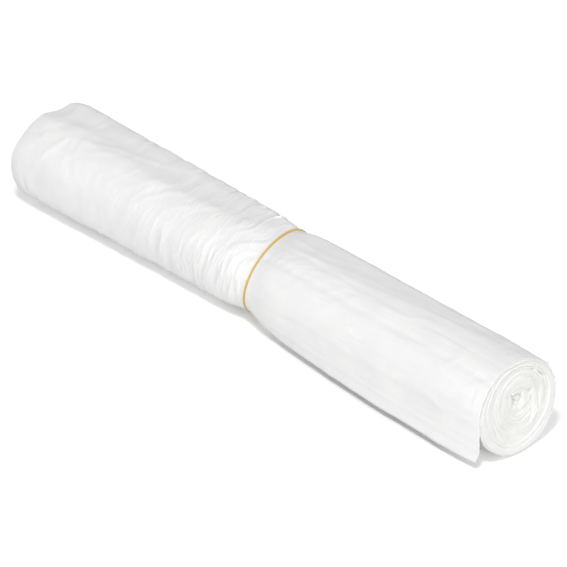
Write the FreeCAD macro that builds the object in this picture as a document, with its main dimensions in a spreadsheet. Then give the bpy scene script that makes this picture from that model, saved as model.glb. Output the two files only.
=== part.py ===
import FreeCAD, Part
import math
import os

import Sketcher

# Bin bag roll: thin film bags wound on themselves without a core and held by one rubber band.
# The roll lies along X on its flat spot at z = 0. The near end, +X, shows the wound turns,
# and the loose edge of the outer turn hangs down on the -Y side.

doc = FreeCAD.newDocument("bin_bag_roll")

# Driving sizes: millimetres, degrees and plain counts
SIZES = {
    "roll_length": 356.0,
    "near_radius": 27.6,
    "far_radius": 28.5,
    "waist_radius": 26.5,
    "flat_depth": 0.6,
    "near_bend": 5.0,
    "near_swing_angle": -2.7,
    "near_tip_angle": 3.5,
    "far_swing_angle": 15.0,
    "far_tip_angle": -3.0,
    "sag_depth": 3.7,
    "sag_reach": 22.0,
    "sag_angle": 95.0,
    "rim_rounding": 1.4,
    "band_offset": -2.2,
    "band_radius": 24.7,
    "band_width": 1.7,
    "band_thickness": 1.1,
    "band_bite": 0.3,
    "band_fit": 0.02,
    "band_lean_angle": 13.0,
    "band_turn_angle": 5.5,
    "pinch_reach": 9.5,
    "lap_thickness": 0.6,
    "lap_gap": 0.35,
    "lap_angle": 226.0,
    "flap_arc": 45.0,
    "flap_peel": 50.0,
    "flap_flare": 0.07,
    "flap_inset": 6.7,
    "flap_edge_angle": 19.0,
    "wrinkle_height": 0.42,
    "wrinkle_spacing": 14.0,
    "wrinkle_reach": 62.0,
    "fold_height": 0.35,
    "turn_pitch": 3.8,
    "turn_gap": 0.8,
    "first_wall": 1.6,
    "turn_depth": 5.0,
    "core_radius": 5.2,
    "core_width": 3.4,
    "core_depth": 16.0,
}

sheet = doc.addObject("Spreadsheet::Sheet", "Sizes")
for row, (name, value) in enumerate(SIZES.items(), start=1):
    sheet.set(f"A{row}", name)
    sheet.set(f"B{row}", str(value))
    sheet.setAlias(f"B{row}", name)
doc.recompute()


def size(name):
    """One driving size, as the sheet holds it."""
    return float(sheet.get(name))


half_length = size("roll_length") / 2
band_x = size("band_offset")
TURN = 2 * math.pi
lap_angle = math.radians(size("lap_angle"))
flap_arc = math.radians(size("flap_arc"))
leave_angle = lap_angle - flap_arc


# The wound film: its radius all round, at any station along the roll

def mean_radius(x):
    """The roll tapers from each end towards the band."""
    if x < band_x:
        share = (band_x - x) / (band_x + half_length)
        return size("waist_radius") + (size("far_radius") - size("waist_radius")) * share
    share = (x - band_x) / (half_length - band_x)
    return size("waist_radius") + (size("near_radius") - size("waist_radius")) * share


def band_slope(angle):
    """How far the band's plane runs along X for each millimetre out from the axis."""
    lean = math.tan(math.radians(size("band_lean_angle")))
    turn = math.tan(math.radians(size("band_turn_angle")))
    return lean * math.sin(angle) - turn * math.cos(angle)


def past_band(angle, x):
    """Distance along the roll from the band's plane, positive towards the near end."""
    return x - band_x - band_slope(angle) * size("band_radius")


def rounding(x):
    """The film draws in a little at both rims."""
    nearest = max(0.0, half_length - abs(x))
    return size("rim_rounding") * math.exp(-nearest / (3 * size("rim_rounding")))


def sag(angle, x):
    """The upper side of the far end is crushed in, deepest at its rim."""
    reach = max(0.0, 1 - (x + half_length) / size("sag_reach"))
    side = (1 + math.cos(angle - math.radians(size("sag_angle")))) / 2
    return size("sag_depth") * reach ** 2 * side ** 3


def wrinkles(angle, x):
    """Gathers that ring the roll left of the band, strongest beside it."""
    behind = -past_band(angle, x)
    if behind <= 0:
        return 0.0
    fade = (1 - math.exp(-behind / 4)) * math.exp(-behind / size("wrinkle_reach"))
    drift = 0.9 * math.sin(2 * angle + 0.4) + 0.5 * math.sin(3 * angle - behind / 23)
    ridge = math.sin(TURN * behind / size("wrinkle_spacing") + drift)
    broken = 0.65 + 0.35 * math.sin(2 * angle + behind / 17)
    return size("wrinkle_height") * fade * broken * ridge


def folds(angle, x):
    """Long soft folds along the roll, and the angular set of its far end."""
    ahead = past_band(angle, x)
    near_share = 1 - math.exp(-max(0.0, ahead) / 40)
    far_share = 1 - math.exp(-max(0.0, -ahead) / 90)
    along = math.sin(4 * angle + 0.5) + 0.6 * math.sin(6 * angle - 0.8)
    angular = math.cos(5 * angle + 0.7) + 0.8 * math.cos(7 * angle - 1.1)
    return size("fold_height") * (0.5 * near_share * along + far_share * angular)


def film_radius(angle, x):
    """Outer radius of the inner turns, with the waist that the band pinches."""
    seat = size("band_radius") / math.sqrt(1 + band_slope(angle) ** 2)
    pinch = math.exp(-(past_band(angle, x) / size("pinch_reach")) ** 2)
    free = mean_radius(x) - rounding(x) - sag(angle, x) + wrinkles(angle, x) + folds(angle, x)
    return free + (seat - free) * pinch


def centre_height(x):
    """The roll lies along its underside, so its centre follows its radius."""
    return mean_radius(x) - size("flat_depth")


def centre_side(x):
    """The roll is a little bent at the band: from there its near end swings to the -Y side."""
    share = max(0.0, x - band_x) / (half_length - band_x)
    return size("near_bend") * (0.5 - share)


def on_section(x, angle, radius):
    """A point of the section at x, from its angle and radius about the roll's axis."""
    y = centre_side(x) + radius * math.cos(angle)
    return FreeCAD.Vector(x, y, centre_height(x) + radius * math.sin(angle))


def lap_share(angle):
    """The outer turn thins away over one turn, from its free edge back under itself."""
    return size("lap_thickness") * (1 - (lap_angle - angle) / TURN)


def peel(x):
    """How closely the outer turn still follows the roll: 1 is tight, 0 hangs straight."""
    return math.exp(-max(0.0, x - band_x) / size("flap_peel"))


def flap_point(x, arc, inward):
    """A point of the loose edge, arc past where it leaves, inward from its outer side."""
    angle = leave_angle + arc
    tight_radius = film_radius(angle, x) + lap_share(angle)
    tight = on_section(x, angle, tight_radius - inward)
    leave_radius = film_radius(leave_angle, x) + lap_share(leave_angle)
    out = FreeCAD.Vector(0, math.cos(leave_angle), math.sin(leave_angle))
    down = FreeCAD.Vector(0, -math.sin(leave_angle), math.cos(leave_angle))
    run = leave_radius * arc
    lift = size("flap_flare") * run * arc / flap_arc
    start = on_section(x, leave_angle, leave_radius - inward)
    loose = start + down * run + out * lift
    return tight * peel(x) + loose * (1 - peel(x))


def root_arc(x):
    """Arc past leave_angle where the loose edge parts from the roll."""
    tight = 0.93
    open_by = 0.25
    return flap_arc * (open_by + (tight - open_by) * peel(x))


def spline_edge(points):
    curve = Part.BSplineCurve()
    curve.interpolate(points)
    return curve.toShape()


def section_wire(x):
    """The roll's outline at x: down the free edge, round the roll, then the lap's gap."""
    flap_steps = 3
    round_steps = 32
    inner_steps = 3
    lap = size("lap_thickness")
    root = root_arc(x)
    last_angle = leave_angle + root - TURN
    outer = [flap_point(x, flap_arc * (1 - i / flap_steps), 0) for i in range(flap_steps)]
    for i in range(round_steps + 1):
        angle = leave_angle + (last_angle - leave_angle) * i / round_steps
        drop = size("lap_gap") * (i / round_steps) ** 3
        outer.append(on_section(x, angle, film_radius(angle, x) + lap_share(angle) - drop))
    inner = [
        flap_point(x, root + (flap_arc - root) * i / inner_steps, lap)
        for i in range(inner_steps + 1)
    ]
    edges = [
        spline_edge(outer),
        Part.makeLine(outer[-1], inner[0]),
        spline_edge(inner),
        Part.makeLine(inner[-1], outer[0]),
    ]
    return Part.Wire(edges)


def stations():
    """Sections close together where the film is gathered or pinched, wide apart elsewhere."""
    fine = size("wrinkle_spacing") / 3.6
    beyond = 4
    left_runs = 5
    right_runs = 10
    widening = 1.5
    rim = half_length - 7
    gathered = [band_x + 16 - i * fine for i in range(int(86 / fine))]
    left = gathered[-1] + half_length + beyond
    right = half_length + beyond - gathered[0]
    places = gathered + [gathered[-1] - left * i / left_runs for i in range(1, left_runs + 1)]
    for i in range(1, right_runs + 1):
        places.append(gathered[0] + right * (i / right_runs) ** widening)
    return sorted(places + [-rim, rim])


film = doc.addObject("Part::Feature", "wound_film")
film.Shape = Part.makeLoft([section_wire(x) for x in stations()], True, True)


# Small helpers for the features that follow

def bind(feature, sizes):
    """Ties a feature's sizes to the sheet."""
    for name, words in sizes.items():
        feature.setExpression(name, words)
    return feature


def placed(base, yaw="0", pitch="0"):
    """A placement in the sheet's words: base is three lengths, yaw and pitch are degrees."""
    vector = "create(<<vector>>; " + "; ".join(base) + ")"
    rotation = f"create(<<rotation>>; {yaw}; {pitch}; 0)"
    return f"create(<<placement>>; {vector}; {rotation})"


def cut(name, base, tool):
    feature = doc.addObject("Part::Cut", name)
    feature.Base = base
    feature.Tool = tool
    return feature


def joined(name, shapes):
    feature = doc.addObject("Part::MultiFuse", name)
    feature.Shapes = shapes
    return feature


# The two ends stand askew: each plane has its own frame, +X outwards, set in from the roll's
# length by as much as the plane leans

def end_frame(end, side, across, heading):
    """The frame of one end's plane; swing turns it about Z and tip leans it over."""
    lean = f"sqrt(tan(Sizes.{end}_swing_angle) ^ 2 + tan(Sizes.{end}_tip_angle) ^ 2)"
    place = f"{side} * (Sizes.roll_length / 2 - Sizes.{end}_radius * {lean})"
    middle = f"Sizes.{end}_radius - Sizes.flat_depth"
    return placed((place, f"{across} * Sizes.near_bend", middle), heading, f"-Sizes.{end}_tip_angle")


ENDS = {
    "near": {"frame": end_frame("near", "1", "-0.5", "Sizes.near_swing_angle"), "side": 1},
    "far": {"frame": end_frame("far", "-1", "0.5", "180 - Sizes.far_swing_angle"), "side": -1},
}
UPRIGHT = "create(<<placement>>; create(<<vector>>; {}; 0; 0); create(<<rotation>>; 0; 90; 0))"


def end_trim(end):
    """A block that squares off the roll outside one end's plane."""
    block = doc.addObject("Part::Box", f"{end}_trim")
    reach = f"2 * Sizes.{end}_radius"
    return bind(block, {
        "Length": reach,
        "Width": f"2 * {reach}",
        "Height": f"2 * {reach}",
        "Placement": f"{ENDS[end]['frame']} * {placed(('0', f'-{reach}', f'-{reach}'))}",
    })


def arcs_through(points):
    """Arcs in a row: each runs from one even point to the next, through the odd one between."""
    return [
        Part.Arc(points[i], points[i + 1], points[i + 2]).toShape()
        for i in range(0, len(points) - 2, 2)
    ]


def gap_strip(end):
    """The spiral gap between the turns, as a flat strip in the plane of one end."""
    side = ENDS[end]["side"]
    place = side * (half_length - size("turn_depth"))
    pitch = size("turn_pitch")
    inner_stop = size("core_radius") + 0.6 * pitch
    turns = (mean_radius(place) - size("first_wall") - inner_stop) / pitch
    arcs_per_turn = 5
    steps = 2 * int(turns * arcs_per_turn)
    start = leave_angle + root_arc(place) - 0.6
    outer, inner = [], []
    for i in range(steps + 1):
        share = i / steps
        angle = start - TURN * turns * share
        radius = film_radius(angle, place) - size("first_wall") - pitch * turns * share
        radius += 0.22 * pitch * share * math.sin(3 * angle + 1.5)
        squeeze = 1 - (1 - size("core_width") / size("core_radius")) * share ** 2
        half_gap = size("turn_gap") / 2
        for edge, edge_radius in ((outer, radius + half_gap), (inner, radius - half_gap)):
            across = side * edge_radius * math.cos(angle) * squeeze
            edge.append(FreeCAD.Vector(0, across, edge_radius * math.sin(angle)))
    outline = arcs_through(outer) + [Part.makeLine(outer[-1], inner[-1])]
    outline += arcs_through(inner[::-1]) + [Part.makeLine(inner[0], outer[0])]
    return Part.Face(Part.Wire(outline))


def turn_gap(end):
    """The gap runs in from the end's plane and leaves the turns standing."""
    strip = doc.addObject("Part::Feature", f"{end}_gap_strip")
    strip.Shape = gap_strip(end)
    bind(strip, {"Placement": ENDS[end]["frame"]})
    gap = doc.addObject("Part::Extrusion", f"{end}_turn_gap")
    gap.Base = strip
    gap.DirMode = "Normal"
    gap.Solid = True
    outwards = "LengthFwd" if strip.Shape.Faces[0].normalAt(0, 0).x > 0 else "LengthRev"
    inwards = "LengthRev" if outwards == "LengthFwd" else "LengthFwd"
    return bind(gap, {outwards: "2 * Sizes.turn_depth", inwards: "Sizes.turn_depth"})


def core_hollow(end):
    """The crushed hollow that the first turn leaves in the middle."""
    oval = doc.addObject("Part::Ellipse", f"{end}_core_oval")
    bind(oval, {"MajorRadius": "Sizes.core_radius", "MinorRadius": "Sizes.core_width"})
    bind(oval, {"Placement": f"{ENDS[end]['frame']} * {UPRIGHT.format('-Sizes.core_depth')}"})
    hollow = doc.addObject("Part::Extrusion", f"{end}_core_hollow")
    hollow.Base = oval
    hollow.DirMode = "Normal"
    hollow.Solid = True
    return bind(hollow, {"LengthFwd": "2 * Sizes.core_depth"})


def end_waste(end):
    """All that is taken off one end: what is past its plane, its hollow and its gap."""
    return joined(f"{end}_end_waste", [end_trim(end), core_hollow(end), turn_gap(end)])


# The rubber band, and the seat that it presses into the film

BAND_FRAME = placed(
    ("Sizes.band_offset", "0.5 * Sizes.near_bend", "Sizes.waist_radius - Sizes.flat_depth"),
    "Sizes.band_turn_angle",
    "Sizes.band_lean_angle",
)


def ring(name, spare):
    """A flat-sided ring round the roll; spare is its clearance, as words for the sheet."""
    body = doc.addObject("PartDesign::Body", name)
    bind(body, {"Placement": BAND_FRAME})
    sketch = body.newObject("Sketcher::SketchObject", f"{name}_section")
    plane = next(item for item in body.Origin.OriginFeatures if item.Role == "XY_Plane")
    sketch.AttachmentSupport = [(plane, "")]
    sketch.MapMode = "FlatFace"
    corners = [(-1, 24), (1, 24), (1, 25), (-1, 25)]
    for (x1, y1), (x2, y2) in zip(corners, corners[1:] + corners[:1]):
        line = Part.LineSegment(FreeCAD.Vector(x1, y1, 0), FreeCAD.Vector(x2, y2, 0))
        sketch.addGeometry(line, False)
    for i in range(4):
        sketch.addConstraint(Sketcher.Constraint("Coincident", i, 2, (i + 1) % 4, 1))
    sketch.addConstraint(Sketcher.Constraint("Horizontal", 2))
    for i in (1, 3):
        sketch.addConstraint(Sketcher.Constraint("Vertical", i))
    origin = -1
    sketch.addConstraint(Sketcher.Constraint("Symmetric", 0, 1, 0, 2, -2))
    across = sketch.addConstraint(Sketcher.Constraint("DistanceX", 0, 1, 0, 2, 2.0))
    inside = sketch.addConstraint(Sketcher.Constraint("DistanceY", origin, 1, 0, 1, 24.0))
    deep = sketch.addConstraint(Sketcher.Constraint("DistanceY", 1, 1, 1, 2, 1.0))
    bind(sketch, {
        f"Constraints[{across}]": f"Sizes.band_width + 2 * {spare}",
        f"Constraints[{inside}]": f"Sizes.band_radius - Sizes.band_bite - {spare}",
        f"Constraints[{deep}]": f"Sizes.band_thickness + 2 * {spare}",
    })
    doc.recompute()
    turn = body.newObject("PartDesign::Revolution", f"{name}_turn")
    turn.Profile = sketch
    turn.ReferenceAxis = (sketch, ["H_Axis"])
    turn.Angle = 360
    body.Tip = turn
    return body


# The flat spot underneath, and the loose edge's corner, which stops short of the near end

ground = doc.addObject("Part::Box", "ground")
bind(ground, {
    "Length": "2 * Sizes.roll_length",
    "Width": "Sizes.roll_length",
    "Height": "Sizes.near_radius",
    "Placement": placed(("-Sizes.roll_length", "-Sizes.roll_length / 2", "-Sizes.near_radius")),
})

corner_block = doc.addObject("Part::Box", "corner_block")
bind(corner_block, {
    "Length": "Sizes.near_radius",
    "Width": "2 * Sizes.near_radius",
    "Height": "2 * Sizes.near_radius",
    "Placement": placed(
        ("Sizes.roll_length / 2 - Sizes.flap_inset", "-2 * Sizes.near_radius", "0"),
        "0",
        "Sizes.flap_edge_angle",
    ),
})
under_turn = doc.addObject("Part::Cylinder", "under_turn")
near_axis = placed(
    ("Sizes.roll_length / 2", "-0.5 * Sizes.near_bend", "Sizes.near_radius - Sizes.flat_depth"),
    "-atan(Sizes.near_bend / (Sizes.roll_length / 2 - Sizes.band_offset))",
)
bind(under_turn, {
    "Radius": "Sizes.near_radius + Sizes.lap_gap / 2",
    "Height": "3 * Sizes.near_radius",
    "Placement": f"{near_axis} * {placed(('-Sizes.near_radius', '0', '0'), '0', '90')}",
})
corner_trim = cut("corner_trim", corner_block, under_turn)


# The finished roll and its band

band = ring("rubber_band", "0")
waste = [end_waste("near"), end_waste("far"), ground, corner_trim]
waste.append(ring("band_seat", "Sizes.band_fit"))
roll = cut("bag_roll", film, joined("waste", waste))

doc.recompute()

for item in doc.Objects:
    if "Invalid" in item.State or "Error" in item.State:
        raise RuntimeError(f"{item.Name} failed: {item.State}")

os.makedirs("parts", exist_ok=True)
for node in (roll, band):
    shape = node.Shape
    if shape.isNull() or not shape.isValid() or len(shape.Solids) != 1:
        raise RuntimeError(f"{node.Label} is not one sound solid")
    box = shape.BoundBox
    print(node.Label, round(shape.Volume), "mm3", box)
    shape.exportStep(f"parts/{node.Label}.step")
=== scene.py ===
# %% [markdown]
# # A roll of thin white bin bags
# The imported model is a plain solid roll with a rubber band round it. Here it gets its looks:
# a skin of crinkled film, the wound turns at both ends, a rubber band and a plain studio.
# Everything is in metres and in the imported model's own frame.

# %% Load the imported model
import math

import bpy
import numpy as np
from mathutils import Matrix, Vector


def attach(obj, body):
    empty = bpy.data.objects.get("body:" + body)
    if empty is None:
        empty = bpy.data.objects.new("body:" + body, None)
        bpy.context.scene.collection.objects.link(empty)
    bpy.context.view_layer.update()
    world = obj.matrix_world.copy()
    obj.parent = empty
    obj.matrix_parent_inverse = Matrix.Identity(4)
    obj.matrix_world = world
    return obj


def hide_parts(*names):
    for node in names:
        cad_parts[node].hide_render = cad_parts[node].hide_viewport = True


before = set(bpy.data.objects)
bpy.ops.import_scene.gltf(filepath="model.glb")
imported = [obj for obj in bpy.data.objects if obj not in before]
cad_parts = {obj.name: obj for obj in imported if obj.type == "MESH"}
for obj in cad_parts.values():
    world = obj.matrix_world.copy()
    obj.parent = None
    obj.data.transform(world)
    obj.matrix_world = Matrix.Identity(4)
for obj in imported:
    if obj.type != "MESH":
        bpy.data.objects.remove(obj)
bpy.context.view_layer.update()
print("packed nodes:", sorted(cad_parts))

# %% [markdown]
# ## Camera
# The photograph looks down on the roll from its near end with a long lens, so the two ends
# are almost the same size. A camera far away with a narrow lens gives that, and it stays level.

# %% Place the camera
LOOK = {"azimuth": 45.7, "elevation": 32.1, "distance": 2.94, "lens": 359.0}
ROLL_MIDDLE = Vector((-0.0022, 0.0025, 0.0253))
SHIFT_RIGHT, SHIFT_DOWN = 0.0036, 0.0060


def camera_axes(azimuth, elevation):
    """The camera's right, up and back directions."""
    a = math.radians(azimuth)
    e = math.radians(elevation)
    back = Vector((math.sin(a) * math.cos(e), -math.cos(a) * math.cos(e), math.sin(e)))
    right = Vector((math.cos(a), math.sin(a), 0))
    return right, back.cross(right), back


right, up, back = camera_axes(LOOK["azimuth"], LOOK["elevation"])
aim = ROLL_MIDDLE + right * SHIFT_RIGHT - up * SHIFT_DOWN
bpy.ops.object.camera_add(location=aim + back * LOOK["distance"])
camera = bpy.context.object
camera.rotation_euler = Matrix((right, up, back)).transposed().to_euler()
camera.data.lens = LOOK["lens"]
camera.data.sensor_width = 36
camera.data.clip_end = 20
bpy.context.scene.camera = camera
print("camera at", tuple(round(value, 3) for value in camera.location))

# %% [markdown]
# ## The shape of the roll
# The film is wound into a roll that tapers from both ends towards the band. The band pulls a
# shallow waist into it. These are the same sizes and rules as the solid has, in millimetres.

# %% Sizes of the roll
MM = 0.001
TURN = 2 * math.pi
# Half of the length, the radius at both ends and at the waist, and the flat spot underneath
HALF = 178.0
NEAR_R, FAR_R, WAIST_R, FLAT = 27.6, 28.5, 26.5, 0.6
# The band's place along the roll, the film's radius under it, and how the band leans
BAND_X, BAND_R = -2.2, 24.7
LEAN_ANGLE, TWIST_ANGLE = math.radians(13.0), math.radians(5.5)
LEAN, TWIST = math.tan(LEAN_ANGLE), math.tan(TWIST_ANGLE)
# How far the roll is bent, how the last turn laps over itself, and the film's thickness there
BEND = 5.0
LAP, LAP_GAP = 0.6, 0.35
FILM = 0.4
# The loose edge: how much of the turn it takes, where it leaves, how fast it peels away
FLAP_ARC = math.radians(45.0)
LEAVE = math.radians(226.0) - FLAP_ARC
PEEL_REACH = 50.0
# The crushed upper side of the far end
SAG_DEPTH, SAG_REACH, SAG_ANGLE = 3.7, 22.0, math.radians(95.0)
print("the roll is", 2 * HALF, "mm long before its ends are set askew")

# %% The smooth roll
def mean_radius(x):
    """The roll without wrinkles."""
    left = WAIST_R + (FAR_R - WAIST_R) * (BAND_X - x) / (BAND_X + HALF)
    right_side = WAIST_R + (NEAR_R - WAIST_R) * (x - BAND_X) / (HALF - BAND_X)
    return np.where(x < BAND_X, left, right_side)


def centre_height(x):
    """The middle of a section stands a little lower than its radius."""
    return mean_radius(x) - FLAT


def centre_side(x):
    """The roll is a little bent at the band."""
    return BEND * (0.5 - np.maximum(0, x - BAND_X) / (HALF - BAND_X))


def sag(angle, x):
    """The upper side of the far end is crushed in, deepest at its rim."""
    reach = np.maximum(0, 1 - (x + HALF) / SAG_REACH)
    return SAG_DEPTH * reach ** 2 * ((1 + np.cos(angle - SAG_ANGLE)) / 2) ** 3


def band_slope(angle):
    """How the leaning band's plane moves along the roll, per millimetre of radius."""
    return LEAN * np.sin(angle) - TWIST * np.cos(angle)


def past_band(angle, x):
    """Distance from the band's plane, positive towards the near end."""
    return x - BAND_X - band_slope(angle) * BAND_R


def lap_share(angle):
    """The last turn's spiral rise."""
    return LAP * (1 - (LEAVE + FLAP_ARC - angle) / TURN)


def peel(x):
    """1 where the loose edge lies tight on the roll, 0 where it hangs."""
    return np.exp(-np.maximum(0, x - BAND_X) / PEEL_REACH)


def root_arc(x):
    """Where the loose edge parts from the turn below it."""
    return FLAP_ARC * (0.25 + 0.68 * peel(x))


print("waist radius at the band:", BAND_R, "mm")

# %% [markdown]
# ## Crinkles
# Thin film never lies smooth. Left of the band it is drawn into fine gathers that ring the
# roll, right of it there are a few long soft creases along the roll, and the ends are
# crumpled. The creases are sharp, so folded noise gives them: smooth random cells whose sign
# is dropped leave a sharp line wherever they cross zero.

# %% Folded noise
CELLS = 512


def soft_cells(u, v, seed, around):
    """Smooth random cells from -1 to 1. They repeat in v every so many cells."""
    table = np.random.default_rng(seed).uniform(-1, 1, (CELLS, around))
    column = np.floor(u).astype(int)
    row = np.floor(v).astype(int)
    fu = u - column
    fv = v - row
    fu = fu * fu * (3 - 2 * fu)
    fv = fv * fv * (3 - 2 * fv)

    def at(i, j):
        return table[(column + i) % CELLS, (row + j) % around]

    low = at(0, 0) * (1 - fu) + at(1, 0) * fu
    high = at(0, 1) * (1 - fu) + at(1, 1) * fu
    return low * (1 - fv) + high * fv


def creases(u, v, seed, around):
    """Sharp ridges between soft hollows, from 0 to 1."""
    return 1 - np.abs(soft_cells(u, v, seed, around)) * 1.6


print("a sample of creases:", np.round(creases(np.arange(3) * 0.4, np.arange(3) * 0.3, 1, 8), 2))

# %% [markdown]
# The band draws the film in, so fine gathers start at it. High on the roll they run almost
# along it, and lower down they turn and ring it. Further out they fade into broad soft rings.
# Three sizes of folded noise on a bent distance from the band give that.

# %% Gathers
# Degrees round the roll where the sweep starts and how many it takes, and its length in mm
SWEEP_TOP, SWEEP_RUN, SWEEP = 152, 50, 22
COARSE, MIDDLE, FINE = 7.0, 4.0, 2.4


def gathers(angle, x):
    """Fine rings left of the band, following the band's own arc."""
    behind = np.maximum(0, -past_band(angle, x))
    turns = angle / TURN
    turned = np.degrees(angle) % 360
    sweep = np.clip((SWEEP_TOP - turned) / SWEEP_RUN, 0, 1) * np.clip(turned / SWEEP_RUN, 0, 1)
    bent = behind + SWEEP * sweep * sweep * (3 - 2 * sweep)
    bent = bent + 4.0 * soft_cells(behind / 19, turns * 7, 11, 7)
    bent = bent + 2.2 * soft_cells(behind / 7, turns * 13, 12, 13)
    coarse = creases(bent / COARSE, turns * 6, 21, 6)
    middle = np.maximum(0, creases(bent / MIDDLE, turns * 9, 22, 9))
    fine = np.maximum(0, creases(bent / FINE, turns * 14, 23, 14))
    patch = np.clip(0.6 + 0.7 * soft_cells(behind / 15, turns * 8, 24, 8), 0.15, 1.2)
    patch = patch + 0.5 * np.exp(-behind / 16)
    reach = np.exp(-np.maximum(0, behind - 40) / 34)
    calm_coarse = np.exp(-np.maximum(0, behind - 90) / 60)
    rings = 0.50 * middle ** 2 + 0.28 * fine ** 2 - 0.3
    return reach * patch * rings + calm_coarse * 0.34 * (coarse - 0.45)


print("a gather 5 mm from the band:", np.round(gathers(np.array([2.6]), np.array([-8.0])), 2), "mm")

# %% [markdown]
# The other side of the band is calmer, with long faint creases. The film is crumpled at the
# far end, and is stretched flat behind a long crest that catches the light.

# %% Folds, crumples and the crest
CREST_START, CREST_DROP, CREST_RUN = 110.0, 26.0, 175.0
CREST_HALF = math.radians(19.0)
CREST_DEPTH = 1.5


def soft_folds(angle, x):
    """Long faint creases along the roll, right of the band."""
    ahead = np.maximum(0, past_band(angle, x))
    turns = angle / TURN + 0.03 * soft_cells(x / 34, angle / TURN * 5, 31, 5)
    share = 1 - np.exp(-ahead / 14)
    along = np.maximum(0, creases(x / 60, turns * 21, 32, 21))
    slanted = np.maximum(0, creases((x + 34 * angle) / 26, turns * 11, 33, 11))
    return share * (0.30 * along ** 3 + 0.26 * slanted ** 3 - 0.2)


def crumples(angle, x):
    """Big facets at the far end and smaller ones near the other rim."""
    turns = angle / TURN
    far = np.exp(-(x + HALF) / 48)
    near = np.exp(-(HALF - x) / 22)
    big = creases(x / 24 + 0.9 * soft_cells(x / 18, turns * 6, 41, 6), turns * 8, 42, 8)
    small = creases(x / 8 + 0.5 * soft_cells(x / 9, turns * 9, 44, 9), turns * 17, 43, 17)
    return far * (1.0 * big + 0.5 * small - 0.72) + near * (0.24 * small + 0.12 * big - 0.18)


def crest(angle, x):
    """The film is stretched flat behind a long crest, which runs down towards the near end."""
    waver = 3 * soft_cells(x / 26, angle * 0, 51, 2)
    waver = waver + 8 * soft_cells(x / 21, angle * 0, 52, 2) * (x < -20)
    corner = np.radians(CREST_START - CREST_DROP * np.clip(x / CREST_RUN, 0, 1) + waver)
    away = (angle + math.pi) % TURN - math.pi - (corner - CREST_HALF)
    inside = np.clip(1 - (away / CREST_HALF) ** 2, 0, 1)
    depth = CREST_DEPTH * (1 - 0.4 * np.clip((x - 60) / 110, 0, 1))
    return depth * inside ** 1.2 * (1 - np.exp(-(past_band(angle, x) / 16) ** 2))


print("the crest at the band:", CREST_START, "degrees round the roll")

# %% [markdown]
# A few creases stand out by themselves on the real film. Each one is drawn: where it
# starts and ends, in millimetres along the roll and degrees round it, its height and half
# width. A place's distance from the crease's slightly bowed line gives the ridge.

# %% Single creases
DEGREE_ARC = 0.48
CREASE_BOW = 1.2
CREASES = [
    (158, 152, 167, 120, 0.17, 0.7),
    (148, 168, 164, 140, 0.15, 0.7),
    (153, 152, 162, 126, 0.16, 0.7),
    (152, 158, 143, 222, 0.16, 0.9),
    (163, 160, 154, 226, 0.13, 0.7),
    (160, 132, 168, 108, 0.15, 0.7),
    (140, 160, 152, 128, 0.15, 0.8),
    (128, 131, 163, 126, 0.30, 1.0),
    (48, 122, 58, 127, 0.35, 0.9),
    (40, 152, 118, 157, 0.18, 1.2),
    (14, 106, 62, 92, 0.42, 1.2),
    (40, 99, 96, 82, 0.42, 1.3),
    (84, 98, 138, 84, 0.38, 1.2),
    (10, 92, 48, 80, 0.36, 1.1),
    (112, 90, 160, 80, 0.34, 1.2),
    (-155, 151, -145, 120, 0.85, 1.3),
    (-154, 148, -160, 170, 0.45, 1.2),
    (-145, 120, -112, 101, 0.50, 1.4),
    (-166, 150, -160, 128, 0.35, 1.0),
    (-160, 104, -120, 97, 0.45, 1.3),
    (-128, 108, -74, 80, 0.60, 1.5),
    (-112, 124, -78, 118, 0.30, 1.3),
    (-60, 108, -8, 100, 0.40, 1.3),
    (-34, 166, -27, 128, 0.55, 0.8),
    (-26, 172, -17, 124, 0.55, 0.8),
    (-43, 156, -38, 138, 0.55, 0.8),
    (-17, 176, -11, 136, 0.45, 0.7),
]


def single_creases(angle, x):
    """The creases that stand out by themselves."""
    total = 0 * x
    turned = np.degrees(angle) % 360
    for x1, a1, x2, a2, height, width in CREASES:
        run_x, run_v = x2 - x1, (a2 - a1) * DEGREE_ARC
        along = ((x - x1) * run_x + (turned - a1) * DEGREE_ARC * run_v) / (run_x ** 2 + run_v ** 2)
        nearest = np.clip(along, 0, 1)
        bow = CREASE_BOW * np.sin(math.pi * nearest)
        off_x = x - x1 - nearest * run_x
        off_v = (turned - a1) * DEGREE_ARC - nearest * run_v - bow
        away = np.hypot(off_x, off_v)
        taper = np.clip(4 * nearest * (1 - nearest), 0, 1) ** 0.5
        total = total + height * taper * np.exp(-(away / width) ** 1.3)
    return total


print(len(CREASES), "single creases")

# %% [markdown]
# The film's radius anywhere is the smooth roll, less what the ends and the crest lose, drawn
# in under the band, plus all the crinkles. The band holds the film still, so they fade there.

# %% The film's radius
PINCH_REACH, CALM_REACH = 9.5, 3.5
ROUND_DEPTH, ROUND_NEAR, ROUND_FAR = 1.2, 11.0, 3.6


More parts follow.
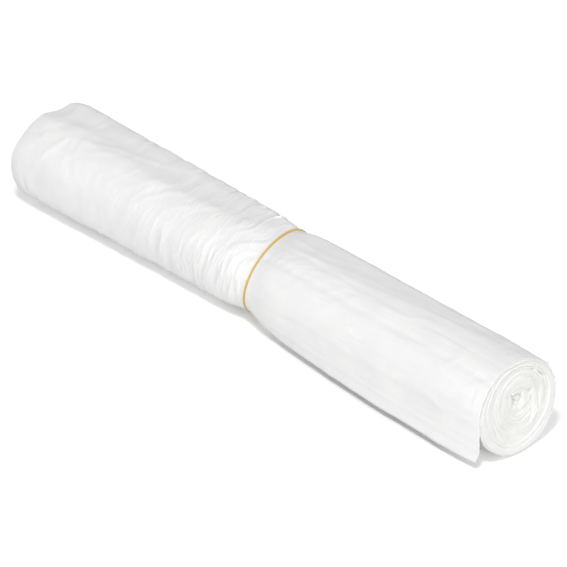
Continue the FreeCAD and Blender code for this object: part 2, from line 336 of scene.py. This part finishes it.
def film_radius(angle, x):
    """The radius of the film all round, crinkles and waist included."""
    seat = BAND_R / np.sqrt(1 + band_slope(angle) ** 2)
    past = past_band(angle, x)
    pinch = np.exp(-(past / PINCH_REACH) ** 2)
    nearest = np.maximum(0, HALF - np.abs(x))
    rounding = ROUND_DEPTH * np.exp(-nearest / np.where(x > 0, ROUND_NEAR, ROUND_FAR))
    calm = 1 - np.exp(-(past / CALM_REACH) ** 2)
    skin = gathers(angle, x) + soft_folds(angle, x) + crumples(angle, x)
    skin = calm * (skin + single_creases(angle, x))
    ahead_share = 1 - np.exp(-np.maximum(0, past) / 40)
    far_share = 1 - np.exp(-np.maximum(0, -past) / 90)
    along = np.sin(4 * angle + 0.5) + 0.6 * np.sin(6 * angle - 0.8)
    angular = np.cos(5 * angle + 0.7) + 0.8 * np.cos(7 * angle - 1.1)
    folds = 0.35 * (0.5 * ahead_share * along + far_share * angular)
    free = mean_radius(x) - rounding - sag(angle, x) - crest(angle, x) + folds
    return free + (seat - free) * pinch + skin


print("film radius half way left:", round(float(film_radius(np.array(2.3), np.array(-90.0))), 2), "mm")

# %% [markdown]
# ## The skin of film
# On the real roll the outer film wraps once round and ends in a loose edge that hangs beside
# the roll. One flat grid can become all of that: its rows run from the loose edge round the
# roll and back under it, its columns run along the roll and turn in at both ends. The grid is
# rolled up by moving its points, and its meeting edges are then merged.

# %% Places on the film
def on_section(x, angle, radius):
    """A point at an angle and radius in the roll's section at x."""
    y = centre_side(x) + radius * np.cos(angle)
    return np.stack([x, y, centre_height(x) + radius * np.sin(angle)], -1)


def film_point(x, arc, inward):
    """A point of the film, arc past where the loose edge leaves the roll."""
    angle = LEAVE + arc
    drop = LAP_GAP * np.clip(-arc / TURN, 0, 1) ** 3
    tight = on_section(x, angle, film_radius(angle, x) + lap_share(angle) - drop - inward)
    leave = np.full_like(x, LEAVE)
    leave_radius = film_radius(leave, x) * 0.35 + 0.65 * mean_radius(x) + lap_share(LEAVE)
    run = leave_radius * np.maximum(0, arc)
    lift = 0.07 * run * np.maximum(0, arc) / FLAP_ARC
    ripple = (film_radius(angle, x) - mean_radius(x)) * 0.8
    start = on_section(x, leave, leave_radius - inward)
    out = np.array([0, math.cos(LEAVE), math.sin(LEAVE)])
    down = np.array([0, -math.sin(LEAVE), math.cos(LEAVE)])
    loose = start + run[..., None] * down + (lift + ripple)[..., None] * out
    share = np.where(arc > 0, peel(x), 1)[..., None]
    return tight * share + loose * (1 - share)


ENDS = {
    "near": {"side": 1, "radius": NEAR_R, "swing": -2.7, "tip": 3.5},
    "far": {"side": -1, "radius": FAR_R, "swing": 15.0, "tip": -3.0},
}


def end_plane(end, point):
    """Where an end's askew plane stands along the roll, at a point of its section."""
    facts = ENDS[end]
    swing = math.tan(math.radians(facts["swing"]))
    tip = math.tan(math.radians(facts["tip"]))
    middle = facts["side"] * (HALF - facts["radius"] * math.hypot(swing, tip))
    across = point[..., 1] - centre_side(np.array(middle))
    height = point[..., 2] - (facts["radius"] - FLAT)
    return middle - facts["side"] * swing * across - tip * height


print("the loose edge leaves the roll at", round(math.degrees(LEAVE)), "degrees")

# %% Add the flat grid
FLAP_ROWS, RING_ROWS, COLUMNS, TUCK = 13, 150, 520, 7


def flat_grid(name, columns, rows):
    """A flat grid of so many columns and rows of points; returns it with each point's place."""
    bpy.ops.object.select_all(action="DESELECT")
    bpy.ops.mesh.primitive_grid_add(x_subdivisions=columns - 1, y_subdivisions=rows - 1, size=2)
    sheet = bpy.context.object
    sheet.name = name
    sheet.data.name = name
    flat = np.empty(len(sheet.data.vertices) * 3)
    sheet.data.vertices.foreach_get("co", flat)
    flat = flat.reshape(-1, 3)
    column = np.rint((flat[:, 0] + 1) / 2 * (columns - 1)).astype(int)
    row = np.rint((flat[:, 1] + 1) / 2 * (rows - 1)).astype(int)
    return sheet, column, row


rows = 2 * (FLAP_ROWS + 1) + RING_ROWS + 1
columns = COLUMNS + 2 * TUCK
skin, column, row = flat_grid("film_skin", columns, rows)
print("grid of", columns, "by", rows, "points")

# %% [markdown]
# The columns stand closer together where the gathers are finest, and at both ends. The first
# rows are the outside of the loose edge, the middle rows go once round the roll, and the last
# ones come back along the inside of the loose edge.

# %% Where each row and column goes
DRAWN = 32.0
CORNER_REACH, CORNER_ARC = 26.0, 0.55
CORNER_MOVE = np.array([-2.8, -0.8, -0.5])
even = np.linspace(-HALF, HALF, 4000)
density = 1 + 1.1 * np.exp(-((even + 42) / 46) ** 4) + 0.5 * (np.abs(even) > HALF - 12)
running = np.cumsum(density)
running = (running - running[0]) / (running[-1] - running[0])
stops = np.interp(np.linspace(0, 1, COLUMNS), running, even)
stops[0], stops[-1] = -HALF, HALF


def row_arc(index, x):
    """The arc of each row, past where the loose edge leaves, and how far inward it lies."""
    root = root_arc(x)
    outer = root + (FLAP_ARC - root) * (1 - index / FLAP_ROWS)
    ring = root - TURN * (index - FLAP_ROWS) / RING_ROWS
    back_step = index - (FLAP_ROWS + RING_ROWS + 1)
    inner = root + (FLAP_ARC - root) * back_step / FLAP_ROWS
    arc = np.where(index <= FLAP_ROWS, outer, ring)
    under = (index > FLAP_ROWS + RING_ROWS) & (index < rows - 1)
    arc = np.where(under, inner, arc)
    arc = np.where(index == rows - 1, FLAP_ARC, arc)
    return arc, np.where(under, FILM, 0.0)


def trimmed(x, arc, inward):
    """Draws the last columns to the end planes, and to the loose edge's slanted side."""
    point = film_point(x, arc, inward)
    side_edge = HALF - 6.7 + 0.344 * point[..., 2]
    near = end_plane("near", point)
    near = np.where(arc > root_arc(x), np.minimum(near, side_edge), near)
    far = end_plane("far", point)
    near_share = np.clip((x - HALF + DRAWN) / DRAWN, 0, 1) ** 2
    far_share = np.clip((-x - HALF + DRAWN) / DRAWN, 0, 1) ** 2
    moved = x + (near - HALF) * near_share + (far + HALF) * far_share
    place = film_point(moved, arc, inward)
    corner = np.clip(1 - (x + HALF) / CORNER_REACH, 0, 1) ** 2
    corner = corner * np.clip(1 - (FLAP_ARC - arc) / CORNER_ARC, 0, 1) ** 2
    return place + corner[..., None] * CORNER_MOVE


x = stops[np.clip(column - TUCK, 0, COLUMNS - 1)]
arc, inward = row_arc(row, x)
place = trimmed(x, arc, inward)
print("row spacing round the roll:", round(TURN * 26 / RING_ROWS, 2), "mm")

# %% [markdown]
# At both ends the film turns over a rim and goes down inside, so the roll is one closed skin
# and the wound turns can stand in the hollow. The loose edge has no hollow: its two sides
# simply meet along its side.

# %% Tuck the ends in
# Each step over the rim: how far inward from the rim, and how far out past the end
FLOOR_GAP = 0.02
RIM = [(0.15, 0.12), (0.35, 0.12), (0.55, -0.15), (0.65, -7.0), (12.0, -7.5), (20.0, -7.6)]
BACK_WALL = 13.0
flap = (row < FLAP_ROWS) | (row > FLAP_ROWS + RING_ROWS + 1)
for end, outward in (("far", -1), ("near", 1)):
    if outward > 0:
        step = column - (TUCK + COLUMNS - 1)
        edge_x = np.full(len(x), HALF)
    else:
        step = TUCK - column
        edge_x = np.full(len(x), -HALF)
    tucked = step > 0
    arc_e, inward_e = row_arc(row, edge_x)
    under_root = row == FLAP_ROWS + RING_ROWS + 1
    rim_point = trimmed(edge_x, arc_e, np.where(under_root, 0.0, inward_e))
    mid_point = trimmed(edge_x, arc_e, np.full(len(x), FILM / 2))
    centre = centre_height(edge_x)
    middle = centre_side(edge_x)
    radius = np.hypot(rim_point[:, 1] - middle, rim_point[:, 2] - centre)
    heading = np.arctan2(rim_point[:, 2] - centre, rim_point[:, 1] - middle)
    meet = mid_point + np.array([outward * RIM[0][1], 0, 0])
    pole = np.array([outward * (HALF - BACK_WALL), middle[0], centre[0]])
    for number in range(1, TUCK + 1):
        here = tucked & (step == number)
        if number == TUCK:
            target = np.tile(pole, (len(x), 1))
        else:
            inset, rise = RIM[number - 1]
            shrunk = np.maximum(0, radius - inset)
            across = middle + shrunk * np.cos(heading)
            height = centre + shrunk * np.sin(heading)
            target = np.stack([rim_point[:, 0] + outward * rise, across, height], -1)
        target = np.where(flap[:, None], meet, target)
        place[here] = target[here]

place[:, 2] = np.maximum(place[:, 2], FLOOR_GAP)
skin.data.vertices.foreach_set("co", (place * MM).ravel())
skin.data.update()
print("the ends turn in over", len(RIM), "steps")

# %% [markdown]
# The loose edge needs no inner wall, so the faces that fold over on its sides are deleted.
# The two sides and the ring's seam then lie on each other, and merging makes one closed skin.

# %% Remove the folded-over faces and merge the seams
MERGE = 0.000004
steps_out = np.maximum(TUCK - column, column - (TUCK + COLUMNS - 1))
bpy.ops.object.mode_set(mode="EDIT")
bpy.ops.mesh.select_mode(type="FACE")
bpy.ops.object.mode_set(mode="OBJECT")
for polygon in skin.data.polygons:
    corners = list(polygon.vertices)
    polygon.select = bool(flap[corners].any() and steps_out[corners].max() > 1)
bpy.ops.object.mode_set(mode="EDIT")
bpy.ops.mesh.delete(type="ONLY_FACE")
bpy.ops.mesh.select_all(action="SELECT")
bpy.ops.mesh.remove_doubles(threshold=MERGE)
bpy.ops.mesh.delete_loose()
bpy.ops.mesh.select_all(action="SELECT")
bpy.ops.mesh.normals_make_consistent(inside=False)
bpy.ops.object.mode_set(mode="OBJECT")


def open_edges(piece):
    """How many edges don't have exactly two faces."""
    count = {}
    for polygon in piece.data.polygons:
        for key in polygon.edge_keys:
            count[key] = count.get(key, 0) + 1
    return sum(1 for value in count.values() if value != 2)


bpy.ops.object.shade_smooth()
triangles = sum(len(polygon.vertices) - 2 for polygon in skin.data.polygons)
print("film skin:", triangles, "triangles,", open_edges(skin), "open edges")

# %% [markdown]
# ## The wound turns
# Each end of the real roll shows its turns on edge. They are soft folds of film, pressed so
# tight that only fine grooves and a few open slits part them, round a crushed hollow. A relief
# shows that best: a round plug whose face is raised and sunk by a formula in polar
# coordinates. The grooves follow a spiral, noise breaks them up, and single folds are added.

# %% The relief of one end
# From one turn to the next, and the half widths of a groove and of a turn's rounded edge
PITCH, GROOVE, ROUNDED = 1.9, 0.24, 0.95


def spiral_relief(across, height, radius, seed, core):
    """How far the turns stand out, in mm, at places given from the middle of an end."""
    reach = np.hypot(across, height) / radius
    pull = np.clip(1 - reach ** 2, 0, 1)
    # The turns lie round a core that stands off the middle and is pressed narrow
    y = (across - core[0] * pull) * (1 + 0.22 * pull)
    z = height - core[1] * pull
    angle = np.arctan2(z, y)
    turns = angle / TURN
    rho = np.hypot(y, z)
    rho = rho + 0.8 * soft_cells(rho / 4.5, turns * 6, seed, 6)
    rho = rho + 0.3 * soft_cells(rho / 1.5, turns * 17, seed + 1, 17)
    level = (radius - rho) / PITCH + turns
    # Grooves between the turns, some deep and some closed
    nearest = np.rint(level)
    gap = np.abs(level - nearest) * PITCH
    strong = np.clip(0.42 + 0.8 * soft_cells((nearest - turns) * 5, 0 * rho, seed + 2, 2), 0, 1)
    groove = np.exp(-(gap / GROOVE) ** 1.4) * strong
    crown = (1 - (1 - np.clip(gap / ROUNDED, 0, 1)) ** 2) * (0.4 + 0.6 * strong)
    # Each turn stands out a little more or less than the next
    inner = np.floor(level)
    step = np.clip((level - inner - 0.88) / 0.12, 0, 1)
    stand = soft_cells((inner - turns) * 4, 0 * rho, seed + 3, 2) * (1 - step)
    stand = stand + soft_cells((inner + 1 - turns) * 4, 0 * rho, seed + 3, 2) * step
    # Fine layers within a turn, and crushed film
    thin = level * 3 + 0.5 * soft_cells(rho, turns * 11, seed + 4, 11)
    thread = np.exp(-(np.abs(thin - np.rint(thin)) / 0.2) ** 2)
    thread = thread * np.clip(soft_cells(rho / 3, turns * 13, seed + 5, 13) + 0.35, 0, 1)
    crush = soft_cells(rho / 3.1, turns * 15, seed + 6, 15)
    crush = crush + 0.5 * soft_cells(rho / 1.4, turns * 31, seed + 7, 31)
    bowl = -0.3 - 0.9 * pull ** 2
    return bowl + 0.16 * crown - 0.6 * groove + 0.36 * stand - 0.2 * thread + 0.15 * crush


print("turns that show on an end:", round(NEAR_R / PITCH))

# %% [markdown]
# Slits and creases break the even spiral. Each is an arc or a straight line that fades out at
# its ends, sunk into the relief. The near end's stand where the photograph shows them.

# %% Slits and creases
# Arcs: middle across and up, radius, start and stop in degrees, half width, lean, depth
NEAR_ARCS = [
    (0, 0, 21.2, 26, 44, 0.34, -0.03, 2.0),
    (0, 0, 20.8, 51, 60, 0.32, 0.03, 1.9),
    (0, 0, 10.3, 20, 120, 0.6, -0.02, 0.6),
    (-14, -3, 24.4, -24, 26, 0.75, 0.0, 0.8),
    (-12, -3, 27.0, -22, 18, 0.5, 0.0, 0.5),
    (8, 2, 23.6, 150, 196, 0.5, 0.0, 0.5),
    (0, 0, 21.4, 216, 262, 0.42, 0.05, 1.0),
    (0, 0, 25.2, 208, 236, 0.36, 0.02, 0.8),
    (0, 0, 12.5, 205, 262, 1.1, 0.03, 0.5),
]
FAR_ARCS = [(0, 0, 19.5, 70, 120, 0.4, 0.03, 1.5), (0, 0, 23.5, 190, 235, 0.4, -0.02, 1.3)]
# Lines: where each starts and stops, half width, depth
NEAR_LINES = [
    ((9.6, 7.4), (8.6, 5.0), 0.9, 1.5),
    ((-3.6, 8.2), (0.4, 2.6), 0.6, 1.9),
    ((0.6, 2.8), (-2.0, -0.8), 0.7, 2.2),
    ((3.8, 6.0), (3.2, 1.6), 0.5, 1.6),
    ((-0.8, 7.0), (3.0, 5.6), 0.45, 1.5),
    ((10.6, 7.0), (8.6, 3.4), 0.7, 1.2),
    ((0.6, 0.4), (2.4, -2.2), 0.5, 1.1),
]
FAR_LINES = [((-4.6, -2.8), (2.2, -1.2), 0.7, 2.4)]


def arc_mark(across, height, radius, start, stop, width, lean=0.0):
    """1 along an arc about the middle, from start to stop degrees, fading out at its ends."""
    angle = np.degrees(np.arctan2(height, across)) % 360
    middle = (start + stop) / 2
    off = (angle - middle + 180) % 360 - 180
    along = np.clip(1 - (off / ((stop - start) / 2)) ** 2, 0, 1) ** 0.7
    line = np.hypot(across, height) - radius - lean * off
    return along * np.exp(-(line / width) ** 2)


def line_mark(across, height, start, stop, width):
    """1 along a straight line between two places, fading out at its ends."""
    a, b = np.array(start), np.array(stop)
    run = b - a
    share = ((across - a[0]) * run[0] + (height - a[1]) * run[1]) / (run @ run)
    nearest = np.clip(share, 0, 1)
    away = np.hypot(across - a[0] - nearest * run[0], height - a[1] - nearest * run[1])
    taper = np.clip(1 - (2 * nearest - 1) ** 2, 0.12, 1) ** 0.5
    return np.exp(-(away / (width * taper)) ** 2)


def carve(relief, across, height, arcs, lines):
    """Sinks arcs and lines into a relief."""
    for side, rise, radius, start, stop, width, lean, depth in arcs:
        mark = arc_mark(across - side, height - rise, radius, start, stop, width, lean)
        relief = relief - depth * mark
    for start, stop, width, depth in lines:
        relief = relief - depth * line_mark(across, height, start, stop, width)
    return relief


def hollow(across, height, middle, size):
    """1 in a hollow with a flat bottom, 0 away from it."""
    away = ((across - middle[0]) / size[0]) ** 2 + ((height - middle[1]) / size[1]) ** 2
    return np.exp(-away ** 1.5)


print(len(NEAR_ARCS) + len(NEAR_LINES), "marks on the near end")

# %% Both ends
def near_relief(across, height, radius):
    """The near end: turns, a smooth folded lap above the crushed core, slits and creases."""
    relief = spiral_relief(across, height, radius, 71, (2.3, 4.2))
    lap = arc_mark(across, height, 14.0, 15, 128, 3.4, 0.02)
    relief = relief * (1 - 0.8 * lap) + 0.45 * lap
    relief = carve(relief, across, height, NEAR_ARCS, NEAR_LINES)
    return relief - 0.9 * hollow(across, height, (1.0, 2.6), (3.6, 4.2))


def far_relief(across, height, radius):
    """The far end: the same turns, with a plain pinched core."""
    relief = spiral_relief(across, height, radius, 91, (-1.4, -2.2))
    relief = carve(relief, across, height, FAR_ARCS, FAR_LINES)
    return relief - 2.8 * hollow(across, height, (-1.4, -2.2), (3.6, 2.6))


sample = near_relief(np.array([0.0, 12.0]), np.array([4.0, 0.0]), 26.0)
print("relief at the core and half way out:", np.round(sample, 2), "mm")

# %% [markdown]
# Each relief goes on a closed plug: a flat grid again, whose rows become spokes and whose
# columns become rings, from the back's middle over the side to the face's middle. It stands
# just inside the skin's rim, so no gap shows.

# %% Make the two plugs
PLUG_MERGE = 0.000003
RIM_INSET, FACE_RISE, EDGE_BLEND = 0.25, 0.1, 0.8
PLUG_BACK, PLUG_SIDE, PLUG_FLOOR = -7.3, -2.2, 0.06


def turned_plug(name, end, relief, rings, spokes):
    """A closed plug with a relief on its face: back, side, then rings to the middle."""
    outward = ENDS[end]["side"]
    plug, ring, spoke = flat_grid(name, rings, spokes)
    arc = TURN * (spoke % (spokes - 1)) / (spokes - 1) - TURN
    end_x = np.full(len(arc), outward * HALF)
    rim_point = trimmed(end_x, arc, 0 * arc)
    side, middle = centre_side(end_x), centre_height(end_x)
    angle = np.arctan2(rim_point[:, 2] - middle, rim_point[:, 1] - side)
    rim = np.hypot(rim_point[:, 2] - middle, rim_point[:, 1] - side) - RIM_INSET
    inward_steps = np.clip((ring - 3) / (rings - 4), 0, 1)
    share = np.where(ring == 0, 0, np.where(ring <= 3, 1, 1 - inward_steps))
    radius = rim * share
    across = radius * np.cos(angle)
    height = radius * np.sin(angle)
    point = np.stack([0 * across, side + across, middle + height], -1)
    face = relief(across * outward, height, float(rim.mean()))
    edge = np.clip((rim - radius) / EDGE_BLEND, 0, 1)
    face = face * edge + FACE_RISE * (1 - edge) ** 2
    depth = np.where(ring <= 1, PLUG_BACK, np.where(ring == 2, PLUG_SIDE, face))
    point[:, 0] = end_plane(end, point) + outward * depth
    point[:, 2] = np.maximum(point[:, 2], PLUG_FLOOR)
    plug.data.vertices.foreach_set("co", (point * MM).ravel())
    plug.data.update()
    bpy.ops.object.mode_set(mode="EDIT")
    bpy.ops.mesh.select_all(action="SELECT")
    bpy.ops.mesh.remove_doubles(threshold=PLUG_MERGE)
    bpy.ops.mesh.select_all(action="SELECT")
    bpy.ops.mesh.normals_make_consistent(inside=False)
    bpy.ops.object.mode_set(mode="OBJECT")
    bpy.ops.object.shade_smooth()
    return plug


near_turns = turned_plug("near_turns", "near", near_relief, 230, 400)
far_turns = turned_plug("far_turns", "far", far_relief, 170, 340)
for piece in (near_turns, far_turns):
    count = sum(len(polygon.vertices) - 2 for polygon in piece.data.polygons)
    print(piece.name, count, "triangles,", open_edges(piece), "open edges")

# %% [markdown]
# ## The rubber band
# A thin band cut from amber rubber tube: flat, a little under two millimetres wide, with
# softened edges. An open cylinder is thickened and its edges are rounded.

# %% Shape the band
BAND = {"radius": 0.0255, "width": 0.0016, "wall": 0.0011, "edge": 0.0003}
bpy.ops.object.select_all(action="DESELECT")
bpy.ops.mesh.primitive_cylinder_add(
    vertices=160, radius=BAND["radius"], depth=BAND["width"], end_fill_type="NOTHING",
)
band = bpy.context.object
band.name = "stretched_band"
thicken = band.modifiers.new("thickness", "SOLIDIFY")
thicken.thickness = BAND["wall"]
thicken.offset = -1
bpy.ops.object.modifier_apply(modifier="thickness")
soften = band.modifiers.new("soft edges", "BEVEL")
soften.width = BAND["edge"]
soften.segments = 3
soften.limit_method = "ANGLE"
soften.angle_limit = math.radians(50)
bpy.ops.object.modifier_apply(modifier="soft edges")
print("band has", len(band.data.polygons), "faces")

# %% [markdown]
# The band lies in the roll's waist and leans a little, as a band does that was rolled on by
# hand. Its mesh is turned and moved, and its object stays at the origin.

# %% Seat the band
lying = Matrix.Rotation(math.radians(90), 4, "Y")
leaning = Matrix.Rotation(TWIST_ANGLE, 4, "Z") @ Matrix.Rotation(LEAN_ANGLE, 4, "Y")
seat = Matrix.Translation((BAND_X * MM, BEND / 2 * MM, (WAIST_R - FLAT) * MM))
band.data.transform(seat @ leaning @ lying)
bpy.ops.object.shade_smooth_by_angle(angle=math.radians(60))
corners = (band.bound_box[0], band.bound_box[6])
print("band box:", [tuple(round(v, 4) for v in corner) for corner in corners])

# %% [markdown]
# ## Materials
# A small class turns shader maths into plain expressions.

# %% Shader sums
class Value:
    """One socket of a material, for sums that add Math nodes."""

    def __init__(self, tree, socket):
        self.tree = tree
        self.socket = socket

    def node(self, kind, settings=None, **inputs):
        """Adds a node. n0, n1 and so on stand for its sockets by number."""
        made = self.tree.nodes.new(kind)
        for name, value in (settings or {}).items():
            setattr(made, name, value)
        for name, value in inputs.items():
            key = int(name[1:]) if name[1:].isdigit() else name.replace("_", " ")
            if isinstance(value, Value):
                self.tree.links.new(value.socket, made.inputs[key])
            else:
                made.inputs[key].default_value = value
        return made

    def out(self, made, name=0):
        return Value(self.tree, made.outputs[name])

    def math(self, operation, first, second=0.0):
        return self.out(self.node("ShaderNodeMath", {"operation": operation}, n0=first, n1=second))

    def __add__(self, other):
        return self.math("ADD", self, other)

    def __radd__(self, other):
        return self.math("ADD", other, self)

    def __sub__(self, other):
        return self.math("SUBTRACT", self, other)

    def __rsub__(self, other):
        return self.math("SUBTRACT", other, self)

    def __mul__(self, other):
        return self.math("MULTIPLY", self, other)

    def __rmul__(self, other):
        return self.math("MULTIPLY", other, self)

    def ramp(self, low, high):
        """0 at low, 1 at high, smooth between."""
        smooth = {"interpolation_type": "SMOOTHSTEP"}
        made = self.node("ShaderNodeMapRange", smooth, Value=self, From_Min=low, From_Max=high)
        return self.out(made)


print("shader sums ready")

# %% [markdown]
# Every finish here needs the same few things: noise of some size, folded noise for sharp
# lines, a colour between two tones, and links to the shader. Numbers that are the same all
# over the surface are set on the shader itself.

# %% Helpers for the finishes
def new_material(name, **numbers):
    """A material, its shader with some numbers set, and the object's own coordinates."""
    material = bpy.data.materials.new(name)
    material.use_nodes = True
    tree = material.node_tree
    shader = tree.nodes["Principled BSDF"]
    for key, value in numbers.items():
        shader.inputs[key.replace("_", " ")].default_value = value
    coordinates = tree.nodes.new("ShaderNodeTexCoord")
    return material, shader, Value(tree, coordinates.outputs["Object"])


def feed(shader, **values):
    """Links what varies to the shader."""
    for key, value in values.items():
        value.tree.links.new(value.socket, shader.inputs[key.replace("_", " ")])


def noise(place, size, detail=3.0, rough=0.5, warp=0.0):
    """Noise of a given size, from 0 to 1, pulled about by warp."""
    return place.out(place.node(
        "ShaderNodeTexNoise", Vector=place, Scale=size, Detail=detail, Roughness=rough, Distortion=warp,
    ))


def folded(soft):
    """Sharp lines where noise crosses its middle."""
    return 1.0 - soft.math("ABSOLUTE", soft - 0.5) * 4.0


def two_tones(share, dark, light):
    """A colour between two."""
    made = share.node(
        "ShaderNodeMix", {"data_type": "RGBA"}, Factor=share, n6=(*dark, 1), n7=(*light, 1),
    )
    return share.out(made, 2)


def bumped(height, strength, distance):
    """Normals for a height; distance is what a height of 1 stands up, in metres."""
    made = height.node("ShaderNodeBump", Height=height, Strength=strength, Distance=distance)
    return height.out(made)


print("helpers ready")

# %% [markdown]
# ### Film
# White polyethylene film is glossy but crinkled. Its finest crinkles are too small to model, so
# noise that is stretched round the roll left of the band, and along it on the right, goes to
# the bump. Faint clouds of tone and gloss keep it from looking painted.

# %% Where the fine lines run
film, shader, spot = new_material("film", IOR=1.5, Coat_Weight=0.3, Coat_Roughness=0.12)
parts = spot.node("ShaderNodeSeparateXYZ", n0=spot)
along_x, across_y, up_z = (spot.out(parts, axis) for axis in "XYZ")
from_band = along_x + across_y * TWIST - up_z * LEAN
ringed = spot.out(spot.node("ShaderNodeCombineXYZ", X=from_band, Y=across_y * 0.2, Z=up_z * 0.2))
lengthwise = spot.out(spot.node("ShaderNodeCombineXYZ", X=along_x * 0.14, Y=across_y, Z=up_z))
left_share = 1.0 - along_x.ramp(-0.012, 0.004)
far_fade = along_x.ramp(-0.14, -0.05) * 0.75 + 0.25
print("film so far:", len(spot.tree.nodes), "nodes")

# %% Film finish
rings = folded(noise(ringed, 330.0, 3.0, warp=0.8))
small_rings = folded(noise(ringed, 760.0, 2.0, warp=0.5))
lines = folded(noise(lengthwise, 190.0, 3.0, warp=1.2))
grain = noise(spot, 700.0, 4.0, 0.6)
height = (rings + small_rings * 0.45) * left_share * far_fade * 0.9
height = height + lines * (1.0 - left_share * 0.7) * 0.7 + grain * 0.22
clouds = noise(spot, 60.0, 3.0, 0.55)
feed(
    shader,
    Normal=bumped(height, 0.8, 0.00022),
    Base_Color=two_tones(clouds.ramp(0.3, 0.7), (0.90, 0.905, 0.90), (0.94, 0.94, 0.935)),
    Roughness=0.26 + clouds * 0.12,
)
print("film has", len(spot.tree.nodes), "nodes")

# %% [markdown]
# ### Film on edge
# At the ends light goes into the folds and comes out beside them, so they look soft and pale.
# Subsurface scattering does that. Its bump is only a fine crumple, and it's a little warmer.

# %% Film edge material
film_edge, shader, spot = new_material(
    "film_edge", Subsurface_Weight=0.4, Subsurface_Radius=(1.0, 1.0, 0.95), Subsurface_Scale=0.0016,
    Coat_Weight=0.25, Coat_Roughness=0.15,
)
clouds = noise(spot, 160.0, 3.0, 0.55)
feed(
    shader,
    Normal=bumped(folded(noise(spot, 420.0, 3.0, 0.55)), 0.5, 0.00018),
    Base_Color=two_tones(clouds.ramp(0.3, 0.7), (0.925, 0.925, 0.89), (0.96, 0.96, 0.935)),
    Roughness=0.3 + clouds * 0.14,
)
print("film edge has", len(spot.tree.nodes), "nodes")

# %% [markdown]
# ### Rubber
# Natural rubber is amber and dull, with a faint grain from cutting. One fine noise gives its
# tone, its dullness and its grain.

# %% Rubber material
rubber, shader, spot = new_material("rubber")
specks = noise(spot, 700.0)
feed(
    shader,
    Normal=bumped(specks, 0.3, 0.0001),
    Base_Color=two_tones(specks, (0.62, 0.40, 0.09), (0.78, 0.54, 0.16)),
    Roughness=0.42 + specks * 0.2,
)
print("rubber has", len(spot.tree.nodes), "nodes")

# %% [markdown]
# ## What each piece stands for
# The skin stands for the solid roll and the two plugs close its ends. The modelled band stands
# for the solid band. Nothing moves, so all of them ride on the one body.

# %% Put the materials on
for piece in (skin, near_turns, far_turns):
    piece.data.materials.append(film if piece is skin else film_edge)
    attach(piece, "root")
band.data.materials.append(rubber)
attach(band, "root")
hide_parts("bag_roll")
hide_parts("rubber_band")
print("pieces ride on root")

# %% [markdown]
# ## Studio
# A white sheet under soft light. The camera sees the sheet as pure white where light reaches
# it, because its colour is stronger for camera rays alone, and the roll's own shadow stays.

# %% Floor
FLOOR_SIDE, FLOOR_COLOUR, FLOOR_GAIN = 3.0, (0.85, 0.85, 0.85, 1), 1.42
bpy.ops.object.select_all(action="DESELECT")
bpy.ops.mesh.primitive_plane_add(size=FLOOR_SIDE, location=(0, 0, 0))
floor = bpy.context.object
floor.name = "floor"
white = bpy.data.materials.new("white_floor")
white.use_nodes = True
tree = white.node_tree
tree.nodes.clear()
seen = Value(tree, tree.nodes.new("ShaderNodeLightPath").outputs["Is Camera Ray"])
gain = seen.node("ShaderNodeVectorMath", {"operation": "MULTIPLY"}, n0=(1, 1, 1), n1=[FLOOR_GAIN] * 3)
bright = seen.node("ShaderNodeBsdfDiffuse", Color=seen.out(gain))
plain = seen.node("ShaderNodeBsdfDiffuse", Color=FLOOR_COLOUR)
mixed = seen.node("ShaderNodeMixShader", n0=seen, n1=seen.out(plain), n2=seen.out(bright))
seen.node("ShaderNodeOutputMaterial", Surface=seen.out(mixed))
floor.data.materials.append(white)
print("floor", tuple(floor.dimensions))

# %% [markdown]
# The room is white to the camera and in reflections, and lights the roll only dimly, so that
# the lamps shape it.

# %% Room
ROOM_DIM, ROOM_WHITE = 0.35, 1.0
world = bpy.context.scene.world or bpy.data.worlds.new("studio")
bpy.context.scene.world = world
world.use_nodes = True
tree = world.node_tree
sky = tree.nodes["Background"]
sky.inputs["Color"].default_value = (1, 1, 1, 1)
path = tree.nodes.new("ShaderNodeLightPath")
camera_ray = Value(tree, path.outputs["Is Camera Ray"])
glossy_ray = Value(tree, path.outputs["Is Glossy Ray"])
clear_ray = Value(tree, path.outputs["Is Transmission Ray"])
seen = camera_ray.math("MAXIMUM", camera_ray, glossy_ray)
seen = seen.math("MAXIMUM", seen, clear_ray)
level = seen.node("ShaderNodeMapRange", Value=seen, To_Min=ROOM_DIM, To_Max=ROOM_WHITE)
tree.links.new(level.outputs[0], sky.inputs["Strength"])
print("room at", ROOM_DIM, "for light on the roll")

# %% [markdown]
# The key lamp stands high on the near side and is small, so the crinkles have clear shades and
# the shadow stays close. Two broad weak lamps fill the near end and the front, and one behind
# the roll keeps its back from going grey.

# %% Lamps
# Each lamp: its place in metres, its side in metres and its power in watts
LAMPS = {
    "key": ((0.92, -1.19, 2.6), 0.46, 29),
    "near_end": ((2.8, -0.5, 0.8), 0.7, 23),
    "front": ((0.35, -2.75, 0.6), 0.8, 20),
    "back": ((-0.6, 2.9, 0.9), 0.8, 15),
}
LIT_POINT = Vector((0, 0, 0.03))
for name, (place, side, power) in LAMPS.items():
    bpy.ops.object.light_add(type="AREA", location=place)
    lamp = bpy.context.object
    lamp.name = name
    lamp.data.shape = "SQUARE"
    lamp.data.size = side
    lamp.data.energy = power
    lamp.rotation_euler = (LIT_POINT - Vector(place)).to_track_quat("-Z", "Y").to_euler()
bpy.context.scene.view_settings.view_transform = "Standard"
print(len(LAMPS), "soft lamps")
